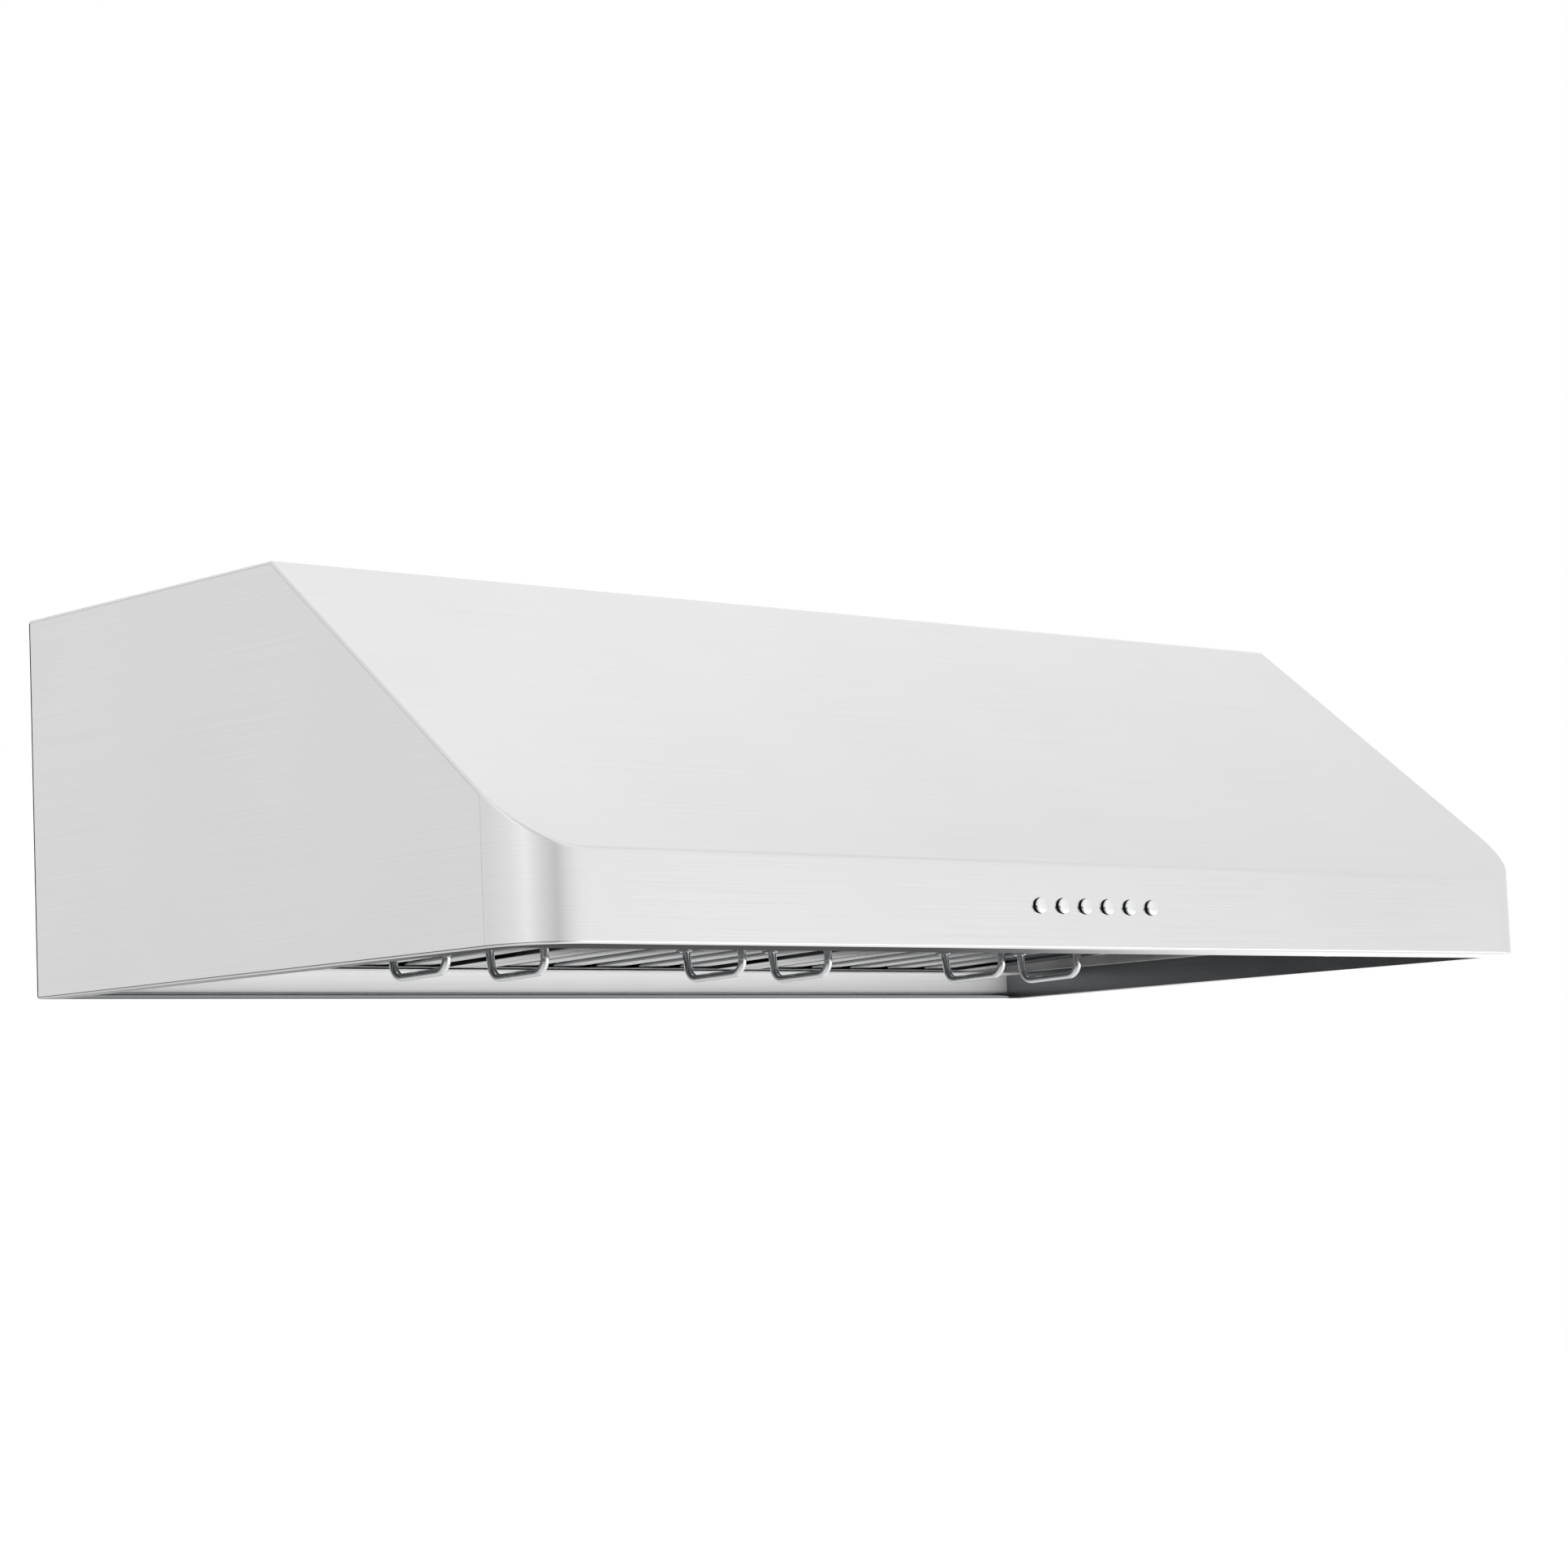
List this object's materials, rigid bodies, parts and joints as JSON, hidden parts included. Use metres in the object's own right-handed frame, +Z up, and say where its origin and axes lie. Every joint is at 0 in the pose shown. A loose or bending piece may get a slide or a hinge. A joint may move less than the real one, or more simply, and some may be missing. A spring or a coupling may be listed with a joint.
{
  "type": "under cabinet range hood",
  "caption": "Brushed steel under-cabinet range hood with a sloping front, push buttons, baffle filters with bail handles, lamps, a blower and a top duct outlet.",
  "frame": {"origin": "centre of the back panel's outer face, on the wall plane", "axes": "+Y into the wall, +X to the right for a person facing the hood, +Z up"},
  "size_m": [0.9144, 0.5105, 0.247],
  "materials": {
    "hood_steel": "brushed stainless steel, fine straight grain",
    "filter_steel": "polished stainless steel baffles",
    "handle_steel": "satin stainless rod and sheet",
    "galvanised": "galvanised sheet steel, faint spangle",
    "chrome": "bright plated metal",
    "lens": "frosted white lamp lens",
    "motor_paint": "black stoved paint",
    "black_plastic": "black moulded plastic",
    "grey_plastic": "light grey moulded plastic",
    "board_green": "green lacquered circuit board",
    "cast_aluminium": "plain aluminium"
  },
  "bodies": {
    "root": {"front_canopy": "hood_steel", "top_panel": "hood_steel", "side_panel_left": "hood_steel", "side_panel_right": "hood_steel", "back_panel": "hood_steel", "filter_filler_left": "hood_steel", "filter_filler_right": "hood_steel", "light_panel": "hood_steel", "lamp_bezel_left": "chrome", "lamp_bezel_right": "chrome", "lamp_lens_left": "lens", "lamp_lens_right": "lens", "lamp_module_left": "cast_aluminium", "lamp_module_right": "cast_aluminium", "lamp_driver": "grey_plastic", "switch_housing": "black_plastic", "control_board": "board_green", "scroll_band": "galvanised", "scroll_plate_left": "galvanised", "scroll_plate_right": "galvanised", "motor_body": "motor_paint", "motor_bracket": "galvanised", "blower_hanger_left": "galvanised", "blower_hanger_right": "galvanised", "hanger_screw_left_front": "chrome", "hanger_screw_left_rear": "chrome", "hanger_screw_right_front": "chrome", "hanger_screw_right_rear": "chrome", "capacitor": "cast_aluminium", "capacitor_strap": "galvanised", "outlet_neck": "galvanised", "damper_axle": "handle_steel", "junction_box": "galvanised", "junction_cover": "galvanised", "wiring_harness": "black_plastic"},
    "blower_wheel": {"impeller": "galvanised", "motor_shaft": "handle_steel"},
    "filter_1": {"filter_1_frame": "filter_steel", "filter_1_lower_baffles": "filter_steel", "filter_1_upper_baffles": "filter_steel", "filter_1_handle_left": "handle_steel", "filter_1_handle_right": "handle_steel"},
    "filter_2": {"filter_2_frame": "filter_steel", "filter_2_lower_baffles": "filter_steel", "filter_2_upper_baffles": "filter_steel", "filter_2_handle_left": "handle_steel", "filter_2_handle_right": "handle_steel"},
    "filter_3": {"filter_3_frame": "filter_steel", "filter_3_lower_baffles": "filter_steel", "filter_3_upper_baffles": "filter_steel", "filter_3_handle_left": "handle_steel", "filter_3_handle_right": "handle_steel"},
    "button_1_body": {"button_1": "chrome"},
    "button_2_body": {"button_2": "chrome"},
    "button_3_body": {"button_3": "chrome"},
    "button_4_body": {"button_4": "chrome"},
    "button_5_body": {"button_5": "chrome"},
    "button_6_body": {"button_6": "chrome"},
    "damper_front": {"damper_flap_front": "galvanised"},
    "damper_rear": {"damper_flap_rear": "galvanised"}
  },
  "joints": [
    {"name": "blower_spin", "type": "hinge", "parent": "root", "child": "blower_wheel", "pos_m": [0, -0.125, 0.0265], "axis": [1, 0, 0], "continuous": true},
    {"name": "filter_1_tip", "type": "hinge", "parent": "root", "child": "filter_1", "pos_m": [-0.25233, -0.0215, -0.10336], "axis": [1, 0, 0], "range_deg": [0, 75]},
    {"name": "filter_2_tip", "type": "hinge", "parent": "root", "child": "filter_2", "pos_m": [0, -0.0215, -0.10336], "axis": [1, 0, 0], "range_deg": [0, 75]},
    {"name": "filter_3_tip", "type": "hinge", "parent": "root", "child": "filter_3", "pos_m": [0.25233, -0.0215, -0.10336], "axis": [1, 0, 0], "range_deg": [0, 75]},
    {"name": "button_1_press", "type": "slide", "parent": "root", "child": "button_1_body", "axis": [0, 1, 0], "range_m": [0, 0.002], "stiffness_N_per_m": 300},
    {"name": "button_2_press", "type": "slide", "parent": "root", "child": "button_2_body", "axis": [0, 1, 0], "range_m": [0, 0.002], "stiffness_N_per_m": 300},
    {"name": "button_3_press", "type": "slide", "parent": "root", "child": "button_3_body", "axis": [0, 1, 0], "range_m": [0, 0.002], "stiffness_N_per_m": 300},
    {"name": "button_4_press", "type": "slide", "parent": "root", "child": "button_4_body", "axis": [0, 1, 0], "range_m": [0, 0.002], "stiffness_N_per_m": 300},
    {"name": "button_5_press", "type": "slide", "parent": "root", "child": "button_5_body", "axis": [0, 1, 0], "range_m": [0, 0.002], "stiffness_N_per_m": 300},
    {"name": "button_6_press", "type": "slide", "parent": "root", "child": "button_6_body", "axis": [0, 1, 0], "range_m": [0, 0.002], "stiffness_N_per_m": 300},
    {"name": "damper_front_swing", "type": "hinge", "parent": "root", "child": "damper_front", "pos_m": [0, -0.06625, 0.1095], "axis": [-1, 0, 0], "range_deg": [0, 75]},
    {"name": "damper_rear_swing", "type": "hinge", "parent": "root", "child": "damper_rear", "pos_m": [0, -0.06625, 0.1095], "axis": [1, 0, 0], "range_deg": [0, 75]}
  ]
}
